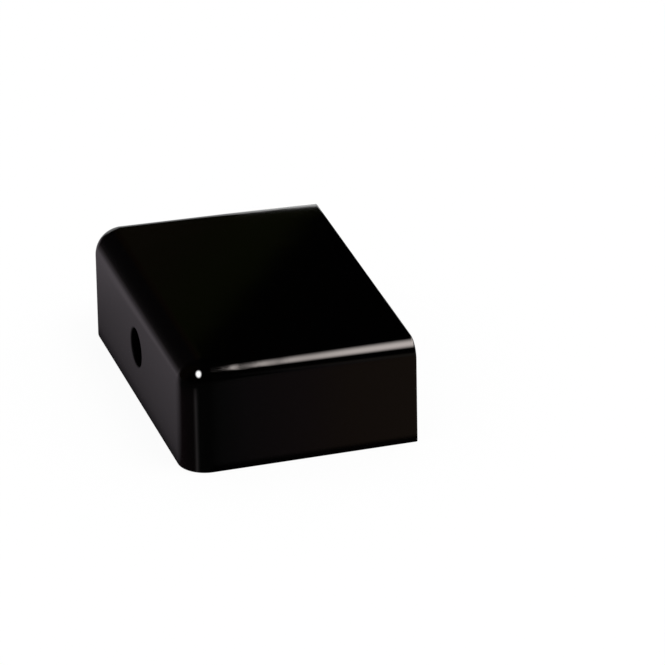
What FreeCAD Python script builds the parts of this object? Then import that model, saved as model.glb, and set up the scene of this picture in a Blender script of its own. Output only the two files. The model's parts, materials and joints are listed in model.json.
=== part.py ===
import FreeCAD, Part
import math
import os

# A cap for a half post, the kind of post that is fixed flat against a wall.
# It is one casting: a flat top with a long outer skirt and two short end skirts.
# The top falls a little from the outer skirt to the wall.
# It is open below, where the post goes in, and open on the side that meets the wall.
#
# Frame, in millimetres: Z is up and the rim lies on Z = 0. Y runs along the wall.
# X runs from the outer skirt (-X) to the wall plane (+X). The origin is in the
# middle of the cap's plan.

# The half post that the cap slides over
post_width = 50.8           # across its face, along the wall
post_depth = 34.9           # out from the wall
post_corner_radius = 1.5    # its two upright corners away from the wall
post_clearance = 0.4        # between the post and each skirt, at the rim

# The casting
wall = 2.7                  # thickness of the skirts at the rim
top_thickness = 2.5         # at the wall plane, where it is thinnest
top_fall = 0.9              # from the outer skirt to the wall plane
skirt_depth = 15.0          # from the rim up to the underside of the top
pocket_draft = 0.5          # degrees that the pocket's walls lean in, towards the top
outer_edge_radius = 4.2     # where the top rolls over into the outer skirt
end_edge_radius = 3.0       # where it rolls over into the two end skirts
pocket_edge_radius = 0.5    # between the underside of the top and the pocket's walls

# The screw hole, in the middle of the outer skirt
screw_hole_diameter = 5.8
screw_hole_height = 9.3     # from the rim up to its centre

# Sizes that follow from those above
cap_width = post_depth + post_clearance + wall
cap_length = post_width + 2 * (post_clearance + wall)
wall_side_height = skirt_depth + top_thickness
outer_side_height = wall_side_height + top_fall
outer_face_x = -cap_width / 2
wall_plane_x = cap_width / 2
end_face_y = cap_length / 2
pocket_corner_radius = post_corner_radius + post_clearance
corner_radius = pocket_corner_radius + wall
draft_lean = skirt_depth * math.tan(math.radians(pocket_draft))
cutter_overrun = 1.0        # how far a cutting shape reaches past the face it opens


def plan_outline(left_x, right_x, half_length, radius, height):
    """A rectangle at one height, with its two corners on the left rounded."""
    arc_x = left_x + radius
    arc_y = half_length - radius
    reach = radius * math.sqrt(0.5)

    def point(x, y):
        return FreeCAD.Vector(x, y, height)

    front_corner = Part.Arc(
        point(left_x, -arc_y),
        point(arc_x - reach, -arc_y - reach),
        point(arc_x, -half_length),
    )
    back_corner = Part.Arc(
        point(arc_x, half_length),
        point(arc_x - reach, arc_y + reach),
        point(left_x, arc_y),
    )
    edges = [
        Part.LineSegment(point(left_x, arc_y), point(left_x, -arc_y)).toShape(),
        front_corner.toShape(),
        Part.LineSegment(point(arc_x, -half_length), point(right_x, -half_length)).toShape(),
        Part.LineSegment(point(right_x, -half_length), point(right_x, half_length)).toShape(),
        Part.LineSegment(point(right_x, half_length), point(arc_x, half_length)).toShape(),
        back_corner.toShape(),
    ]
    return Part.Wire(edges)


def edges_round_the_top(solid, lowest, open_side_x):
    """The edges from a height upwards, without the straight one on the open side."""
    tolerance = 1e-6
    found = []
    for edge in solid.Edges:
        box = edge.BoundBox
        on_top = box.ZMin > lowest - tolerance
        on_open_side = box.XMin > open_side_x - tolerance
        if on_top and not on_open_side:
            found.append(edge)
    return found


def side_view_block():
    """The cap's side view, with its sloping top, as wide as the cap is long."""
    corners = [
        FreeCAD.Vector(outer_face_x, -end_face_y, 0),
        FreeCAD.Vector(wall_plane_x, -end_face_y, 0),
        FreeCAD.Vector(wall_plane_x, -end_face_y, wall_side_height),
        FreeCAD.Vector(outer_face_x, -end_face_y, outer_side_height),
    ]
    side_view = Part.makePolygon(corners + corners[:1])
    return Part.Face(side_view).extrude(FreeCAD.Vector(0, cap_length, 0))


def roll_over_radius(point):
    """The radius of the rolled edge at one of its ends."""
    on_outer_skirt = point.x < outer_face_x + corner_radius / 2
    return outer_edge_radius if on_outer_skirt else end_edge_radius


def outer_form():
    """The solid block of the cap, its top rolled over into the three skirts."""
    outline = plan_outline(outer_face_x, wall_plane_x, end_face_y, corner_radius, 0)
    plan_block = Part.Face(outline).extrude(FreeCAD.Vector(0, 0, outer_side_height))
    block = plan_block.common(side_view_block())
    radii = []
    for edge in edges_round_the_top(block, wall_side_height, wall_plane_x):
        number = [edge.isSame(other) for other in block.Edges].index(True) + 1
        start = edge.valueAt(edge.FirstParameter)
        end = edge.valueAt(edge.LastParameter)
        radii.append((number, roll_over_radius(start), roll_over_radius(end)))
    document = FreeCAD.newDocument()
    base = document.addObject("Part::Feature", "Block")
    base.Shape = block
    rolled = document.addObject("Part::Fillet", "RolledBlock")
    rolled.Base = base
    rolled.Edges = radii
    document.recompute()
    return rolled.Shape.copy()


def post_pocket():
    """The space for the post: drafted walls, open below and towards the wall."""
    open_x = wall_plane_x + cutter_overrun
    lean_below = cutter_overrun * math.tan(math.radians(pocket_draft))
    below = plan_outline(
        outer_face_x + wall - lean_below,
        open_x,
        end_face_y - wall + lean_below,
        pocket_corner_radius + lean_below,
        -cutter_overrun,
    )
    above = plan_outline(
        outer_face_x + wall + draft_lean,
        open_x,
        end_face_y - wall - draft_lean,
        pocket_corner_radius - draft_lean,
        skirt_depth,
    )
    pocket = Part.makeLoft([below, above], True, True)
    return pocket.makeFillet(pocket_edge_radius, edges_round_the_top(pocket, skirt_depth, open_x))


def screw_hole():
    """A plain round hole, square through the outer skirt."""
    start = FreeCAD.Vector(outer_face_x - cutter_overrun, 0, screw_hole_height)
    length = wall + draft_lean + 2 * cutter_overrun
    return Part.makeCylinder(screw_hole_diameter / 2, length, start, FreeCAD.Vector(1, 0, 0))


def post_cap():
    shell = outer_form().cut(post_pocket())
    return shell.cut(screw_hole()).removeSplitter()


os.makedirs("parts", exist_ok=True)
cap = post_cap().Solids[0]
cap.exportStep("parts/post_cap.step")
print("post_cap %.1f x %.1f mm" % (cap_width, cap_length))
print("height at the wall %.1f mm" % wall_side_height)
print("volume %.0f mm3, valid %s" % (cap.Volume, cap.isValid()))
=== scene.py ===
import json
import math

import bmesh
import bpy
import numpy as np
from mathutils import Matrix, Vector


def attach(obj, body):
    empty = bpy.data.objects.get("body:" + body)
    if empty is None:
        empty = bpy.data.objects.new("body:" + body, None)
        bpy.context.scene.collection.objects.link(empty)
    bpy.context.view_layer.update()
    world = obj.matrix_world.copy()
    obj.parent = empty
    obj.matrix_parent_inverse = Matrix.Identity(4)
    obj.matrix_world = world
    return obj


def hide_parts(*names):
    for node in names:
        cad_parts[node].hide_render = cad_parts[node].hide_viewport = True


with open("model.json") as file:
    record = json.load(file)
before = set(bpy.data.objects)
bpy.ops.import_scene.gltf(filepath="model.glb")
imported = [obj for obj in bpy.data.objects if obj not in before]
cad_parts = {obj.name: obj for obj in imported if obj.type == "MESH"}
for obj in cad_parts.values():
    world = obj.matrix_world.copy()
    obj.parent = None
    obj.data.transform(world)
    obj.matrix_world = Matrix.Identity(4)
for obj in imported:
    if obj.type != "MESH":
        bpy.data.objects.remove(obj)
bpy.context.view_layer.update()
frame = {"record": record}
print("the packed cap is loaded")

metre = 1000    # this script works in millimetres and degrees, Blender in metres


# Camera

cameraSetup = {
    "lens": 358.867,
    "sensor": 36.0,
    "place": (-254.123, -918.708, 473.326),
    "aim": (13.520, -0.364, 7.044),
    "lean": 1.057,              # the camera turned a little about its own axis
    "nearest": 0.05,            # metres
    "farthest": 50.0,
}


def addCamera(setup):
    place, aim = Vector(setup["place"]) / metre, Vector(setup["aim"]) / metre
    forward = (aim - place).normalized()
    side = forward.cross(Vector((0, 0, 1))).normalized()
    level = side.cross(forward)
    lean = math.radians(setup["lean"])
    up = level * math.cos(lean) + side * math.sin(lean)
    right = forward.cross(up)
    data = bpy.data.cameras.new("camera")
    data.sensor_width = setup["sensor"]
    data.lens = setup["lens"]
    data.clip_start, data.clip_end = setup["nearest"], setup["farthest"]
    camera = bpy.data.objects.new("camera", data)
    turned = Matrix((right, up, -forward)).transposed().to_4x4()
    camera.matrix_world = Matrix.Translation(place) @ turned
    bpy.context.collection.objects.link(camera)
    bpy.context.scene.camera = camera


addCamera(cameraSetup)
bpy.context.scene.view_settings.view_transform = "Standard"
print("camera placed")


# Shader sums written as Python sums

class Wire:
    def __init__(self, graph, socket):
        self.graph, self.socket = graph, socket

    def math(self, operation, *others, first=None):
        start = self if first is None else first
        values = dict(enumerate((start,) + others))
        return self.graph.add("ShaderNodeMath", {"operation": operation}, values)

    def __add__(self, other): return self.math("ADD", other)
    def __radd__(self, other): return self.math("ADD", other)
    def __sub__(self, other): return self.math("SUBTRACT", other)
    def __rsub__(self, other): return self.math("SUBTRACT", self, first=other)
    def __mul__(self, other): return self.math("MULTIPLY", other)
    def __rmul__(self, other): return self.math("MULTIPLY", other)
    def __truediv__(self, other): return self.math("DIVIDE", other)
    def __rtruediv__(self, other): return self.math("DIVIDE", self, first=other)
    def __pow__(self, other): return self.math("POWER", other)


class Graph:
    # a node is made, then its settings are set, then its sockets get values or links
    def __init__(self, tree):
        self.tree = tree
        tree.nodes.clear()

    def add(self, kind, settings, values, out=0):
        node = self.tree.nodes.new(kind)
        for name, value in settings.items():
            if name == "stops":
                self.setStops(node.color_ramp, value)
            else:
                setattr(node, name, value)
        for name, value in values.items():
            if isinstance(value, Wire):
                self.tree.links.new(value.socket, node.inputs[name])
            else:
                node.inputs[name].default_value = value
        if not node.outputs:
            return None
        return Wire(self, node.outputs[out])

    def setStops(self, ramp, stops):
        ramp.elements[0].position, ramp.elements[-1].position = stops[0][0], stops[-1][0]
        for place, colour in stops[1:-1]:
            ramp.elements.new(place)
        for element, (place, colour) in zip(ramp.elements, stops):
            element.color = colour

    def grade(self, value, low, high, start=0.0, end=1.0):
        # start below low, end above high, and a smooth change between them
        settings = {"interpolation_type": "SMOOTHSTEP"}
        values = {"Value": value, "From Min": low, "From Max": high, "To Min": start, "To Max": end}
        return self.add("ShaderNodeMapRange", settings, values)

    def profile(self, value, stops):
        # a colour that follows a value, from stops of a place, red, green and blue
        low, high = stops[0][0], stops[-1][0]
        share = self.add("ShaderNodeMapRange", {}, {"Value": value, "From Min": low, "From Max": high})
        ramp = [((place - low) / (high - low), (*colour, 1.0)) for place, *colour in stops]
        return self.add("ShaderNodeValToRGB", {"stops": ramp}, {"Fac": share})

    def blend(self, amount, first, second):
        # a colour between two colours
        values = {0: amount, 6: first, 7: second}
        return self.add("ShaderNodeMix", {"data_type": "RGBA"}, values, out=2)

    def millimetres(self):
        # where a point of the piece is, in millimetres
        place = self.add("ShaderNodeTexCoord", {}, {}, out="Object")
        return self.add("ShaderNodeVectorMath", {"operation": "SCALE"}, {0: place, "Scale": metre})

    def noise(self, place, size, detail=2.0):
        # uneven values round 0.5, their lumps about one size wide, in millimetres
        values = {"Vector": place, "Scale": 1.0 / size, "Detail": detail, "Roughness": 0.5}
        return self.add("ShaderNodeTexNoise", {}, values)


def newMaterial(name):
    material = bpy.data.materials.new(name)
    material.use_nodes = True
    return material, Graph(material.node_tree)


# The casting, with the sizes of the CAD part

hole = next(m for m in frame["record"]["mounts"] if m["name"] == "screw_hole")
cap = {
    "width": 38.0, "length": 57.0,
    "wallSideHeight": 17.5, "topFall": 0.9,
    "cornerRadius": 4.6, "outerEdgeRadius": 4.2, "endEdgeRadius": 3.0,
    "skirt": 2.7, "skirtDepth": 15.0, "pocketDraft": 0.5, "pocketEdgeRadius": 0.5,
    # the broken edges that a real casting has, outside and inside
    "rimEdge": 0.25, "wallSideEdge": 0.2, "holeEdge": 0.65, "holeBackEdge": 0.3,
    "holeRadius": hole["dims"]["r_mm"],
    "holeHeight": hole["pos_m"][2] * metre,
    "holeFrame": 4.2,           # half of the square patch round the hole
    "margin": 0.15,             # a narrow band of cells beside each rounded edge
    "pocketDull": 0.4,          # where the coat is dull: 0 outside, 1 in the hole
    "dullBy": 0.6,              # how far round the hole's edge it gets to 1
    "weld": 0.002,              # points nearer than this are one point
}
# How many cells each stretch has: along an end, round a corner, along the outer skirt and its
# square patch, over the rolled edge and a broken edge, across the flat parts, on the wall above
# and below the patch, and round and through the hole
steps = {"run": 34, "corner": 26, "side": 12, "patch": 16, "roll": 28, "lip": 6,
         "fill": 6, "above": 4, "below": 5, "ring": 4, "bore": 4}


def smoothRows(count):
    # angles from 0 to 90 degrees, evenly spaced
    return np.linspace(0, math.pi / 2, count + 1)


def planStations(c, s):
    # Goes round the plan from the wall plane along the front end, round a corner, along the
    # outer skirt and back along the far end. Each station has the outline's point, the way
    # out of the wall there, the radius of the rolled edge, and how far the section is shrunk.
    x1, y1, r = c["width"] / 2, c["length"] / 2, c["cornerRadius"]
    e, m = c["wallSideEdge"], c["margin"]
    q = smoothRows(s["lip"])[::-1]
    endX = np.r_[x1, x1 - e + e * np.sin(q), x1 - e - m]
    endShrink = np.r_[e + m, e * (1 - np.cos(q)), 0.0]
    runX = np.linspace(x1 - e - m, -x1 + r + m, s["run"] + 1)[1:]
    turn = smoothRows(s["corner"])
    sideY = np.linspace(-y1 + r + m, -c["holeFrame"], s["side"] + 1)
    patchY = np.linspace(-c["holeFrame"], 0, s["patch"] // 2 + 1)[1:]
    onEnd, onSide = np.zeros(len(endX) + len(runX)), np.zeros(len(sideY) + len(patchY))
    x = np.r_[endX, runX, -x1 + r - r * np.sin(turn), onSide - x1]
    y = np.r_[onEnd - y1, -y1 + r - r * np.cos(turn), sideY, patchY]
    nx = np.r_[onEnd, -np.sin(turn), onSide - 1]
    ny = np.r_[onEnd - 1, -np.cos(turn), onSide]
    share = np.r_[onEnd, turn / turn[-1], onSide + 1]
    shrink = np.r_[endShrink, np.zeros(len(x) - len(endShrink))]
    roll = c["endEdgeRadius"] + (c["outerEdgeRadius"] - c["endEdgeRadius"]) * share
    half = np.stack([x, y, nx, ny, roll, shrink])
    mirrored = half[:, -2::-1] * np.array([1, -1, 1, -1, 1, 1])[:, None]
    return np.concatenate([half, mirrored], axis=1)


def topHeight(c, x):
    # the height at the wall plane, and the share of the fall that x is away from it
    return c["wallSideHeight"] + c["topFall"] * (c["width"] / 2 - x) / c["width"]


def fillRows(edge, inward, count):
    # straight from the middle line of the top to a narrow band beside its edge
    middle = edge * np.array([1.0, 0.0, 1.0])
    return middle + (edge + inward - middle) * np.linspace(0, 1, count)[:, None, None]


def outerRows(c, s, stations):
    # One section from the middle of the top, over the rolled edge, down the wall and round
    # the rim's edge. The rolled edge is an arc from the way out of the top to the way out of
    # the wall, round a centre that is one radius inside both.
    x, y, nx, ny, roll, shrink = stations
    wallOut = np.stack([nx, ny, 0 * nx], axis=-1)
    slope = c["topFall"] / c["width"]
    topOut = np.array([slope, 0, 1]) / math.hypot(slope, 1)
    centre = np.stack([x - roll * nx, y - roll * ny, 0 * x], axis=-1)
    centre[:, 2] = topHeight(c, centre[:, 0]) - roll * math.hypot(slope, 1)
    opening = np.arccos(wallOut @ topOut)[None, :, None]
    t = np.linspace(0, 1, s["roll"] + 1)[:, None, None]
    out = (np.sin((1 - t) * opening) * topOut + np.sin(t * opening) * wallOut) / np.sin(opening)
    rolled = centre + (roll[:, None] - shrink[:, None]) * out
    alongEnd = (nx == 0)[:, None] * np.array([1.0, 0, -slope])      # keeps a section at one x
    rolled = rolled - (rolled[..., :1] - x[:, None]) * alongEnd
    inward = np.stack([-nx, -ny, slope * nx], axis=-1) * c["margin"]
    top = fillRows(rolled[0], inward, s["fill"])
    foot = centre[:, 2]
    e, m, frameTop, frameFoot = wallLevels(c)
    above = foot - m - (foot - m - frameTop) * np.linspace(0, 1, s["above"])[:, None]
    frameRows = np.linspace(frameTop, frameFoot, s["patch"] + 1)[1:, None] + 0 * foot
    below = np.linspace(frameFoot, e + m, s["below"])[1:, None] + 0 * foot
    level = np.concatenate([above, frameRows, below])
    wall = np.stack([x - shrink * nx, y - shrink * ny], axis=-1)[None] + 0 * level[..., None]
    wall = np.concatenate([wall, level[..., None]], axis=-1)
    q = smoothRows(s["lip"])[:, None, None]
    inset, bend = np.maximum(shrink, e), np.maximum(e - shrink, 0)[:, None]
    lipCentre = np.stack([x - inset * nx, y - inset * ny, inset], axis=-1)
    down = np.array([0, 0, -1.0])
    lip = lipCentre + bend * (np.cos(q) * wallOut + np.sin(q) * down)
    flat = np.stack([x - (e + m) * nx, y - (e + m) * ny, shrink], axis=-1)[None]
    return np.concatenate([top, rolled, wall, lip, flat])


def wallLevels(c):
    # the two sizes at the rim, and the top and the foot of the square patch round the hole
    h, f = c["holeHeight"], c["holeFrame"]
    return c["rimEdge"], c["margin"], h + f, h - f


def innerRows(c, s, stations):
    # The same for the pocket, from the rim up its leaning wall, round the small inside edge
    # and along the underside of the top to the middle. It has as many rows as the outside.
    x, y, nx, ny, roll, shrink = stations
    wallIn = np.stack([-nx, -ny, 0 * nx], axis=-1)
    down = np.array([0, 0, -1.0])
    lean = math.tan(math.radians(c["pocketDraft"]))
    e, m, frameTop, frameFoot = wallLevels(c)

    def at(depth, level):
        shape = np.broadcast(depth, level, x).shape
        return np.stack([np.broadcast_to(x - depth * nx, shape), np.broadcast_to(y - depth * ny, shape),
                         np.broadcast_to(level, shape)], axis=-1)

    skirt, r = c["skirt"], c["pocketEdgeRadius"]
    flat = at(skirt - e - m, shrink)[None]
    q = smoothRows(s["lip"])[::-1][:, None, None]
    inset, bend = np.maximum(shrink, e), np.maximum(e - shrink, 0)[:, None]
    lip = at(skirt + lean * e - inset, inset) + bend * (np.cos(q) * wallIn + np.sin(q) * down)
    ceiling = c["skirtDepth"]
    below = np.linspace(e + m, frameFoot, s["below"])[:-1]
    frameRows = np.linspace(frameFoot, frameTop, s["patch"] + 1)[:-1]
    above = np.linspace(frameTop, ceiling - r - m, s["above"])
    level = np.concatenate([below, frameRows, above])[:, None]
    wall = at(skirt + lean * level - shrink, level + 0 * x)
    t = smoothRows(s["roll"])[:, None, None]
    arcDepth = skirt + lean * (ceiling - r) + r
    arc = at(arcDepth, ceiling - r) + (r + shrink[:, None]) * (-np.cos(t) * wallIn - np.sin(t) * down)
    top = fillRows(arc[-1], m * wallIn, s["fill"])[::-1]
    return np.concatenate([flat, lip, wall, arc, top])


def gridFaces(rows, columns, keep=None, offset=0):
    # the four corners of each cell of a grid, as numbers of its points row by row
    index = np.arange(rows * columns).reshape(rows, columns) + offset
    cells = np.stack([index[:-1, :-1], index[1:, :-1], index[1:, 1:], index[:-1, 1:]], axis=-1)
    return cells[keep] if keep is not None else cells.reshape(-1, 4)


def holeRing(c, s, outerX):
    # From the square patch on the outer skirt to the circle, round its edge, through the
    # wall, and out to the square patch inside. Each column keeps its angle from the centre.
    n, f, h, e, back = s["patch"], c["holeFrame"], c["holeHeight"], c["holeEdge"], c["holeBackEdge"]
    run = np.linspace(-f, f, n + 1)
    flat = np.full(n, f)
    squareY = np.r_[run[:-1], flat, run[:0:-1], -flat]
    squareZ = np.r_[-flat, run[:-1], flat, run[:0:-1]]
    angle = np.arctan2(squareZ, squareY)
    cy, cz = np.cos(angle), np.sin(angle)
    lean = math.tan(math.radians(c["pocketDraft"]))
    r, m = c["holeRadius"], c["margin"]

    def plate(reach, share):
        share = share[:, None]
        return (squareY * (1 - share) + reach * cy * share,
                squareZ * (1 - share) + reach * cz * share)

    share = np.linspace(0, 1, s["ring"])
    plateY, plateZ = plate(r + e + m, share)
    q = smoothRows(s["lip"])[:, None]
    lipR = r + e - e * np.sin(q)
    lipX = outerX + e * (1 - np.cos(q)) + 0 * cy
    innerWall = outerX + c["skirt"] + lean * (h + r * cz)
    depth = np.linspace(0, 1, s["bore"] + 1)[1:-1, None]
    boreX = lipX[-1] + (innerWall - back - lipX[-1]) * depth
    outY = np.concatenate([plateY, lipR * cy, r * cy + 0 * boreX])
    outZ = np.concatenate([plateZ, lipR * cz, r * cz + 0 * boreX])
    outX = np.concatenate([outerX + 0 * plateY, lipX, boreX])
    backR = r + back - back * np.cos(q)
    backY, backZ = backR * cy, backR * cz
    backX = outerX + c["skirt"] + lean * (h + backZ) - back + back * np.sin(q)
    plateY, plateZ = plate(r + back + m, share[::-1])
    inY, inZ = np.concatenate([backY, plateY]), np.concatenate([backZ, plateZ])
    plateX = outerX + c["skirt"] + lean * (h + plateZ)
    inX = np.concatenate([backX, plateX])
    y, z, x = np.concatenate([outY, inY]), np.concatenate([outZ, inZ]) + h, np.concatenate([outX, inX])
    points = np.stack([x, y, z], axis=-1)
    overEdge = np.minimum(np.linspace(0, 1 / c["dullBy"], s["lip"] + 1), 1)
    dull = np.r_[np.zeros(s["ring"]), overEdge, np.ones(s["bore"] + s["lip"]),
                 np.full(s["ring"], c["pocketDull"])]
    points = np.concatenate([points, points[:, :1]], axis=1)
    return points, np.broadcast_to(dull[:, None], points.shape[:2])


def makeMesh(name, points, quads, polygons, dull, weld):
    # Points that no face needs are left out. Doubles are merged at the seams, then the
    # outside is worked out once.
    used = np.unique(np.concatenate([quads.reshape(-1)] + polygons))
    number = np.zeros(len(points), dtype=int)
    number[used] = np.arange(len(used))
    faces = number[quads].tolist() + [number[polygon].tolist() for polygon in polygons]
    mesh = bpy.data.meshes.new(name)
    mesh.from_pydata(points[used] / metre, [], faces)
    dullness = mesh.attributes.new("dull", "FLOAT", "POINT")
    dullness.data.foreach_set("value", dull[used].astype(np.float32))
    work = bmesh.new()
    work.from_mesh(mesh)
    bmesh.ops.remove_doubles(work, verts=work.verts, dist=weld / metre)
    bmesh.ops.recalc_face_normals(work, faces=work.faces)
    work.to_mesh(mesh)
    openEdges = sum(1 for edge in work.edges if len(edge.link_faces) != 2)
    print(name, len(mesh.polygons), "faces, edges not shared by two faces:", openEdges)
    work.free()
    mesh.polygons.foreach_set("use_smooth", np.ones(len(mesh.polygons), dtype=bool))
    piece = bpy.data.objects.new(name, mesh)
    bpy.context.collection.objects.link(piece)
    return piece


def flatPolygon(index, rows, first, last):
    # The flat part inside the narrow bands, as one face: from the middle line along the first
    # station past the wall plane's edge, round the plan, and back along the last such station.
    return np.r_[index[rows, first], index[rows[-1], first + 1:last], index[rows[:0:-1], last]]


def makeCap(c, s):
    # The outside and the inside are one grid, whose rows run from the top over the rim to the
    # underside. The square patch round the hole and the two flat parts are cut out of it.
    stations = planStations(c, s)
    outer, inner = outerRows(c, s, stations), innerRows(c, s, stations)
    grid = np.concatenate([outer, inner])
    rows, columns = grid.shape[:2]
    cell = (grid[:-1, :-1] + grid[1:, 1:]) / 2
    outerX = -c["width"] / 2
    fromHole = np.abs(cell - np.array([outerX, 0.0, c["holeHeight"]]))
    keep = (fromHole > c["holeFrame"]).any(axis=-1)
    first, last = s["lip"] + 2, columns - s["lip"] - 3      # past the edges on the wall plane
    fill = s["fill"]
    keep[:fill - 1, first:last] = keep[rows - fill:, first:last] = False
    index = np.arange(rows * columns).reshape(rows, columns)
    polygons = [flatPolygon(index, np.arange(fill), first, last),
                flatPolygon(index, np.arange(rows - 1, rows - fill - 1, -1), first, last)]
    polygons += [index[:, 0], index[:, -1]]     # the two halves of the flat face on the wall plane
    ring, ringDull = holeRing(c, s, outerX)
    ringFaces = gridFaces(*ring.shape[:2], offset=rows * columns)
    quads = np.concatenate([gridFaces(rows, columns, keep), ringFaces])
    points = np.concatenate([grid.reshape(-1, 3), ring.reshape(-1, 3)])
    rowDull = np.r_[np.zeros(len(outer)), np.full(len(inner), c["pocketDull"])]
    dull = np.concatenate([np.repeat(rowDull, columns), ringDull.reshape(-1)])
    return makeMesh("postCapShell", points, quads, polygons, dull, c["weld"])


shell = makeCap(cap, steps)
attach(shell, "root")
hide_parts("post_cap")
print("cap made")


# The gloss black coat

coat = {
    "black": (0.0005, 0.0004, 0.0005, 1.0),
    "deepBlack": (0.0002, 0.0002, 0.0002, 1.0),
    "cloudSize": 14.0, "patchSize": 6.0, "softDetail": 3.0,
    "roughness": 0.036, "patchy": 0.022, "dullRoughness": 0.55, "refraction": 1.5,
    "bareFrom": (0.1, 0.95), "bareRoughness": 0.9,      # the drilled hole has no gloss
    "peelSize": 1.3, "peelDepth": 0.0012,       # the coat's orange peel
    "waveSize": 9.0, "waveDepth": 0.010,        # the casting's own unevenness
}


def makeCoat(c):
    material, g = newMaterial("glossBlackCoat")
    place = g.millimetres()
    dull = g.add("ShaderNodeAttribute", {"attribute_name": "dull"}, {}, out="Fac")
    cloud = g.noise(place, c["cloudSize"], c["softDetail"])
    colour = g.blend(cloud, c["deepBlack"], c["black"])
    patches = (g.noise(place, c["patchSize"], c["softDetail"]) - 0.5) * c["patchy"]
    roughness = c["roughness"] + patches + dull * c["dullRoughness"]
    peel = g.noise(place, c["peelSize"], 1.0) * c["peelDepth"]
    wave = g.noise(place, c["waveSize"], 1.0) * c["waveDepth"]
    bump = g.add("ShaderNodeBump", {}, {"Height": (peel + wave) / metre, "Distance": 1.0, "Strength": 1.0})
    values = {"Base Color": colour, "Roughness": roughness, "IOR": c["refraction"], "Normal": bump}
    glossy = g.add("ShaderNodeBsdfPrincipled", {}, values)
    values = {"Base Color": colour, "Roughness": c["bareRoughness"], "Specular IOR Level": 0.0}
    bare = g.add("ShaderNodeBsdfPrincipled", {}, values)
    inHole = g.grade(dull, *c["bareFrom"])
    surface = g.add("ShaderNodeMixShader", {}, {0: inHole, 1: glossy, 2: bare})
    g.add("ShaderNodeOutputMaterial", {}, {"Surface": surface})
    return material


shell.data.materials.append(makeCoat(coat))
print("coat made")


# The table, the studio and the light, where 1 is white

black = (0.0, 0.0, 0.0, 1.0)
white = (1.0, 1.0, 1.0, 1.0)
studio = {
    "floorHalf": 6000.0,
    "floorColour": (0.95, 0.95, 0.95, 1.0),
    "floorWhiteShare": 0.93,        # how much of the table is plain white to the camera
    "ambient": (0.82, 0.82, 0.82, 1.0),
}


def meshObject(name, points, faces):
    mesh = bpy.data.meshes.new(name)
    mesh.from_pydata(np.asarray(points, dtype=float) / metre, [], faces)
    piece = bpy.data.objects.new(name, mesh)
    bpy.context.collection.objects.link(piece)
    return piece


def glowing(piece, name, strength, makeColour):
    # a light that only the coat's reflections show, its colour worked out from x, y and z
    material, g = newMaterial(name)
    place = g.millimetres()
    x, y, z = [g.add("ShaderNodeSeparateXYZ", {}, {0: place}, out=axis) for axis in "XYZ"]
    values = {"Color": makeColour(g, x, y, z), "Strength": strength}
    glow = g.add("ShaderNodeEmission", {}, values)
    g.add("ShaderNodeOutputMaterial", {}, {"Surface": glow})
    piece.data.materials.append(material)
    piece.visible_camera = piece.visible_diffuse = piece.visible_shadow = False
    piece.visible_transmission = piece.visible_volume_scatter = False


def whiteRays(g):
    # 1 for camera, glossy and transmission rays, 0 for the rays that light the object
    paths = [g.add("ShaderNodeLightPath", {}, {}, out=name)
             for name in ("Is Camera Ray", "Is Glossy Ray", "Is Transmission Ray")]
    return (paths[0] + paths[1] + paths[2]).math("MINIMUM", 1.0)


def makeFloor(s):
    h = s["floorHalf"]
    floor = meshObject("tableTop", [(-h, -h, 0), (h, -h, 0), (h, h, 0), (-h, h, 0)], [(0, 1, 2, 3)])
    material, g = newMaterial("paleTable")
    lit = g.add("ShaderNodeBsdfDiffuse", {}, {"Color": s["floorColour"]})
    plain = g.add("ShaderNodeEmission", {}, {"Color": white, "Strength": 1.0})
    both = g.add("ShaderNodeMixShader", {}, {0: whiteRays(g) * s["floorWhiteShare"], 1: lit, 2: plain})
    clear = g.add("ShaderNodeBsdfTransparent", {}, {})
    fromBelow = g.add("ShaderNodeNewGeometry", {}, {}, out="Backfacing")
    seen = g.add("ShaderNodeMixShader", {}, {0: fromBelow, 1: both, 2: clear})
    g.add("ShaderNodeOutputMaterial", {}, {"Surface": seen})
    floor.data.materials.append(material)


def makeWorld(s):
    world = bpy.data.worlds.new("whiteStudio")
    world.use_nodes = True
    bpy.context.scene.world = world
    g = Graph(world.node_tree)
    colour = g.blend(whiteRays(g), s["ambient"], white)
    background = g.add("ShaderNodeBackground", {}, {"Color": colour, "Strength": 1.0})
    g.add("ShaderNodeOutputWorld", {}, {"Surface": background})


def tinted(stops, tint):
    # stops of a place and a light, given one tint
    return [(place, *(light * share for share in tint)) for place, light in stops]


def angleRound(g, x, y, centre):
    # the direction from a point of the table, 0 to 360 degrees
    turn = (y - centre[1]).math("ARCTAN2", x - centre[0]) * (180 / math.pi)
    return turn + turn.math("LESS_THAN", 0.0) * 360


def alongFront(x, y, fan, frontY):
    # the place on the front end where lines that fan out from a point behind the cap cross it
    return (x - fan[0]) / (fan[1] - y) * (fan[1] - frontY) + fan[0]


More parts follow.
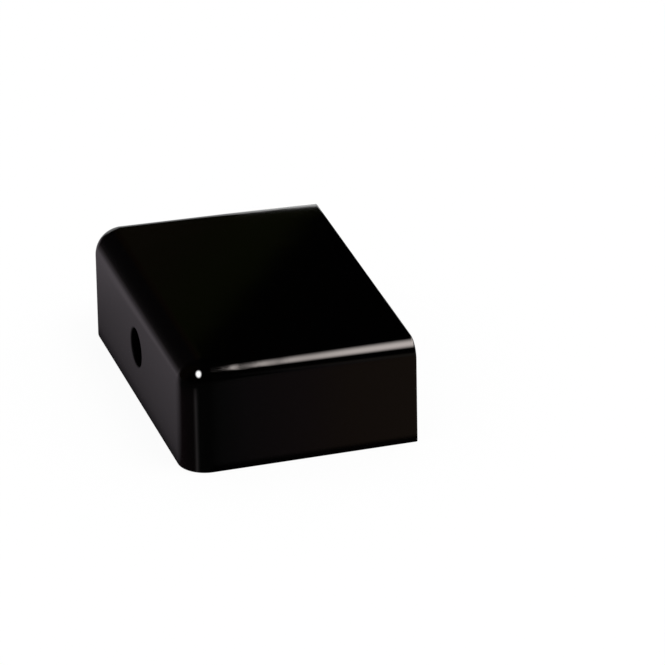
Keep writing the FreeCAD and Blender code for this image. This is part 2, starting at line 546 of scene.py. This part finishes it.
# Painted reflection of a grey table: a glowing sheet that only the coat's reflections show. Each stop is a
# place and the red, green and blue light there.
tableCloth = {
    "half": 1500.0, "lift": 0.1,
    # by the distance from the outer skirt, darker towards the wall's foot as painted shade
    "left": tinted([(0.2, 0.035), (1.2, 0.08), (2.5, 0.10), (6.0, 0.13), (12.0, 0.18), (24.0, 0.26),
                    (36.0, 0.28), (70.0, 0.20), (140.0, 0.13)], (1.05, 0.93, 1.03)),
    "leftFar": (30.0, 54.0, 1.0, 1.26),     # from one y to another, and its gain at each
    "leftFrom": (-18.82, -24.5), "leftEnds": (128.0, 162.0),
    # by the direction from the corner, with the bright gap that paints the upright highlight streak
    "corner": [(160.0, 0.040, 0.026, 0.030), (207.0, 0.036, 0.026, 0.028), (213.0, 0.09, 0.08, 0.08),
               (220.5, 0.36, 0.33, 0.34), (228.5, 0.09, 0.09, 0.09), (235.0, 0.018, 0.018, 0.018),
               (300.0, 0.015, 0.015, 0.015)],
    "cornerFrom": (-15.25, -26.35), "gapFades": (26.0, 36.0),
    # by the place along the front end, black near the front foot as painted shade
    "front": [(-15.0, 0.015, 0.015, 0.015), (-13.0, 0.040, 0.040, 0.040), (-9.0, 0.066, 0.056, 0.060),
              (0.0, 0.095, 0.070, 0.070), (8.0, 0.122, 0.085, 0.066), (19.0, 0.142, 0.100, 0.074)],
    "fan": (-254.0, 862.0), "frontFoot": (1.1, 3.0, 0.1, 1.0), "frontLap": 0.5,
    "behindX": (-18.5, -14.0), "behindY": (28.6, 31.0), "besideX": (21.0, 40.0),
}


def makePaintedTableReflection(t, c):
    frontY = -c["length"] / 2

    def colour(g, x, y, z):
        # painted highlight: a bright gap in the corner's reflection draws an upright streak
        corner = g.profile(angleRound(g, x, y, t["cornerFrom"]), t["corner"])
        far = ((x - t["cornerFrom"][0]) ** 2 + (y - t["cornerFrom"][1]) ** 2) ** 0.5
        corner = g.blend(g.grade(far, *t["gapFades"]), corner, (*t["corner"][-1][1:], 1.0))
        leftShare = g.grade(angleRound(g, x, y, t["leftFrom"]), *t["leftEnds"], 1.0, 0.0)
        # painted shade: the left wall's reflection darkens towards the wall's foot
        left = g.profile(-c["width"] / 2 - x, t["left"])
        values = {0: left, "Scale": g.grade(y, *t["leftFar"])}
        left = g.add("ShaderNodeVectorMath", {"operation": "SCALE"}, values)
        sides = g.blend(leftShare, corner, left)
        front = g.profile(alongFront(x, y, t["fan"], frontY), t["front"])
        # painted shade: the front wall's reflection goes black near its foot
        front = g.blend(g.grade(frontY - y, *t["frontFoot"]), black, front)
        isFront = y.math("LESS_THAN", frontY + t["frontLap"]) * x.math("GREATER_THAN", -c["width"] / 2)
        pastCorner = alongFront(x, y, t["fan"], frontY).math("GREATER_THAN", t["front"][0][0])
        sides = g.blend(isFront * pastCorner, sides, front)
        # painted reflection of the white background behind and beside the cap
        behind = g.grade(y, *t["behindY"]) * g.grade(x, *t["behindX"])
        beside = g.grade(x, *t["besideX"]) * y.math("GREATER_THAN", frontY)
        return g.blend(behind.math("MAXIMUM", beside), sides, white)

    h, z = t["half"], t["lift"]
    # a glowing grey sheet that only the coat's reflections show: a painted reflection of the table
    reflectionSheet = meshObject("tableCloth", [(-h, -h, z), (h, -h, z), (h, h, z), (-h, h, z)], [(0, 1, 2, 3)])
    glowing(reflectionSheet, "greyCloth", 1.0, colour)


# Painted reflection of a dark studio: a glowing dark dome over the table that only the coat's reflections
# show, open low down on one side where the white background shows
reflectionDome = {
    "radius": 1500.0, "step": 2.0,                  # the angle between its ribs
    "openLeft": 82.0, "openRight": -62.0, "openUp": 20.0,
    "dark": (0.0006, 0.0006, 0.0006, 1.0),
    # by its distance out and up together, on the far side: a faint painted reflection along the far edge
    "far": [(940.0, 0.016, 0.010, 0.005), (975.0, 0.021, 0.017, 0.009),
            (992.0, 0.0165, 0.014, 0.0065), (1004.0, 0.0140, 0.0150, 0.0045),
            (1020.0, 0.0120, 0.0145, 0.0030), (1030.0, 0.0110, 0.0135, 0.0024),
            (1037.0, 0.0, 0.0, 0.0)],
    # by the height on the dome, on the left side and in front: painted grey reflections on those walls
    "left": tinted([(0.0, 0.13), (40.0, 0.11), (78.0, 0.08), (157.0, 0.035), (363.0, 0.018),
                    (537.0, 0.012), (900.0, 0.006)], (1.05, 0.9, 0.95)),
    "leftFrom": 90.0, "leftEnds": (122.0, 145.0),
    "front": [(-16.0, 0.0, 0.0, 0.0), (-10.0, 0.045, 0.045, 0.050), (-3.0, 0.105, 0.09, 0.09),
              (8.0, 0.16, 0.14, 0.12)],
    "frontFades": (230.0, 620.0),
}


def makeReflectionDome(s, t, c):
    # Half a ball: each point is one radius away in a direction round and up, in even steps.
    azimuth = np.radians(np.arange(0, 360 + s["step"] / 2, s["step"]))
    height = np.radians(np.arange(0, 90 + s["step"] / 2, s["step"]))
    a, e = np.meshgrid(azimuth, height)
    r = s["radius"]
    points = np.stack([r * np.cos(e) * np.cos(a), r * np.cos(e) * np.sin(a), r * np.sin(e)], axis=-1)
    a, e = np.degrees(a[:-1, :-1]) + s["step"] / 2, np.degrees(e[:-1, :-1]) + s["step"] / 2
    a = np.where(a > 180, a - 360, a)
    openCell = (e < s["openUp"]) & (a > s["openRight"]) & (a < s["openLeft"])

    def colour(g, x, y, z):
        behind = y.math("GREATER_THAN", 0.0)
        # painted dark reflection, with a faint painted reflection along the far edge
        base = g.blend(behind, s["dark"], g.profile(x + z, s["far"]))
        turn = angleRound(g, x, y, (0.0, 0.0))
        isLeft = g.grade(turn, *s["leftEnds"], 1.0, 0.0) * turn.math("GREATER_THAN", s["leftFrom"])
        # painted grey reflection on the left wall
        base = g.blend(isLeft, base, g.profile(z, s["left"]))
        # painted grey reflection on the front wall
        front = g.profile(alongFront(x, y, t["fan"], -c["length"] / 2), s["front"])
        return g.blend(g.grade(z, *s["frontFades"], 1.0, 0.0) * (1 - behind), base, front)

    # a glowing dome that only the coat's reflections show: a painted reflection of dark surroundings
    dome = meshObject("darkCanopy", points.reshape(-1, 3), gridFaces(*points.shape[:2], ~openCell))
    glowing(dome, "darkCloth", 1.0, colour)


# The long soft lamp over the front end. Its light changes along it, by x less a bend.
longLamp = {
    "height": 367.0, "x": (60.0, 220.0), "y": (-640.0, 200.0),
    "bend": 0.00031, "bendFrom": -20.0, "start": 88.0,
    "centre": (-216.0, 2.45), "half": (99.0, 0.88),     # at the start, and the change along it
    "across": (0.1, 1.95),
    "along": tinted([(85.0, 0.0), (86.0, 0.01), (86.6, 0.22), (87.1, 1.2), (87.7, 1.3), (88.3, 0.60),
                     (88.8, 0.01), (89.6, 0.01), (90.4, 0.12), (91.4, 0.22), (92.5, 0.52), (93.6, 0.84),
                     (95.2, 0.62), (97.2, 0.32), (98.8, 0.58), (100.5, 0.74), (103.9, 0.66),
                     (107.2, 0.75), (113.9, 0.88), (124.8, 0.92)], (1.0, 0.90, 0.86)),
    "strength": 11.4,
}
# The small one over the corner, taller than wide and leaning
smallLamp = {
    "from": (-17.0, -26.0, 16.0), "azimuth": 216.6, "elevation": 44.8, "far": 400.0,
    "across": 102.0, "upright": 162.0, "lean": -72.0, "edge": (0.35, 1.0), "strength": 28.0,
    "sides": 32,
}


def makeLongLamp(s):
    def colour(g, x, y, z):
        along = x - (y - s["bendFrom"]) ** 2 * s["bend"]
        centre = (along - s["start"]) * s["centre"][1] + s["centre"][0]
        half = (along - s["start"]) * s["half"][1] + s["half"][0]
        across = (y - centre).math("ABSOLUTE") / half
        return g.blend(g.grade(across, *s["across"], 1.0, 0.0), black, g.profile(along, s["along"]))

    (x0, x1), (y0, y1), z = s["x"], s["y"], s["height"]
    panel = meshObject("longSoftLamp", [(x0, y0, z), (x1, y0, z), (x1, y1, z), (x0, y1, z)], [(0, 1, 2, 3)])
    glowing(panel, "longSoftLampFace", s["strength"], colour)


def makeSmallLamp(s):
    # A leaning ellipse round its middle, square to the direction from the corner.
    a, e = math.radians(s["azimuth"]), math.radians(s["elevation"])
    toward = np.array([math.cos(e) * math.cos(a), math.cos(e) * math.sin(a), math.sin(e)])
    side = np.array([-math.sin(a), math.cos(a), 0.0])
    up = np.cross(toward, side)
    middle = np.array(s["from"]) + toward * s["far"]
    angle = np.linspace(0, 2 * math.pi, s["sides"] + 1)[:-1, None]
    upright = s["upright"] * up + s["lean"] * side
    rim = middle + s["across"] * np.cos(angle) * side + np.sin(angle) * upright

    def colour(g, x, y, z):
        x, y, z = x - middle[0], y - middle[1], z - middle[2]
        upright = (x * up[0] + y * up[1] + z * up[2]) / s["upright"]
        across = (x * side[0] + y * side[1] - upright * s["lean"]) / s["across"]
        far = (across ** 2 + upright ** 2) ** 0.5
        return g.blend(g.grade(far, *s["edge"], 1.0, 0.0), black, white)

    lamp = meshObject("smallSoftLamp", rim, [tuple(range(len(rim)))])
    glowing(lamp, "smallSoftLampFace", s["strength"], colour)


# A low pale card behind the cap that glows and only the coat's reflections show: a painted
# highlight on the last of its far edge. It is higher and brighter towards the wall plane.
paleCard = {
    "y": 60.0, "x": (-24.0, 60.0), "top": (29.5, 34.1), "rises": (6.0, 17.0), "topSoft": 0.4,
    "light": tinted([(-24.0, 0.0), (-19.0, 0.21), (8.0, 0.21), (12.0, 0.26), (15.0, 0.40), (19.0, 0.60),
                     (22.0, 0.75), (24.5, 0.80), (27.0, 1.0)], white[:3]),
    "strength": 2.7,
}


def makePaleGlowCard(s):
    def colour(g, x, y, z):
        # painted highlight along the far edge, higher towards the wall plane
        under = g.grade(x, *s["rises"], *s["top"]) - z
        return g.blend(g.grade(under, 0.0, s["topSoft"]), black, g.profile(x, s["light"]))

    (x0, x1), y, z = s["x"], s["y"], s["top"][1]
    # a glowing card that only the coat's reflections show
    card = meshObject("paleCard", [(x0, y, 0), (x1, y, 0), (x1, y, z), (x0, y, z)], [(0, 1, 2, 3)])
    glowing(card, "paleCardFace", s["strength"], colour)


overheadLamp = {"place": (500.0, -500.0, 1500.0), "size": 900.0, "power": 9.0}


def addOverheadLamp(s):
    data = bpy.data.lights.new("overheadLamp", "AREA")
    data.shape, data.size, data.energy = "DISK", s["size"] / metre, s["power"]
    lamp = bpy.data.objects.new("overheadLamp", data)
    lamp.location = Vector(s["place"]) / metre
    lamp.rotation_euler = (-lamp.location).to_track_quat("-Z", "Y").to_euler()
    lamp.visible_glossy = False         # the coat shows the two soft lamps in its place
    bpy.context.collection.objects.link(lamp)


makeFloor(studio)
makeWorld(studio)
makePaintedTableReflection(tableCloth, cap)
makeReflectionDome(reflectionDome, tableCloth, cap)
makeLongLamp(longLamp)
makeSmallLamp(smallLamp)
makePaleGlowCard(paleCard)
addOverheadLamp(overheadLamp)
print("studio made")
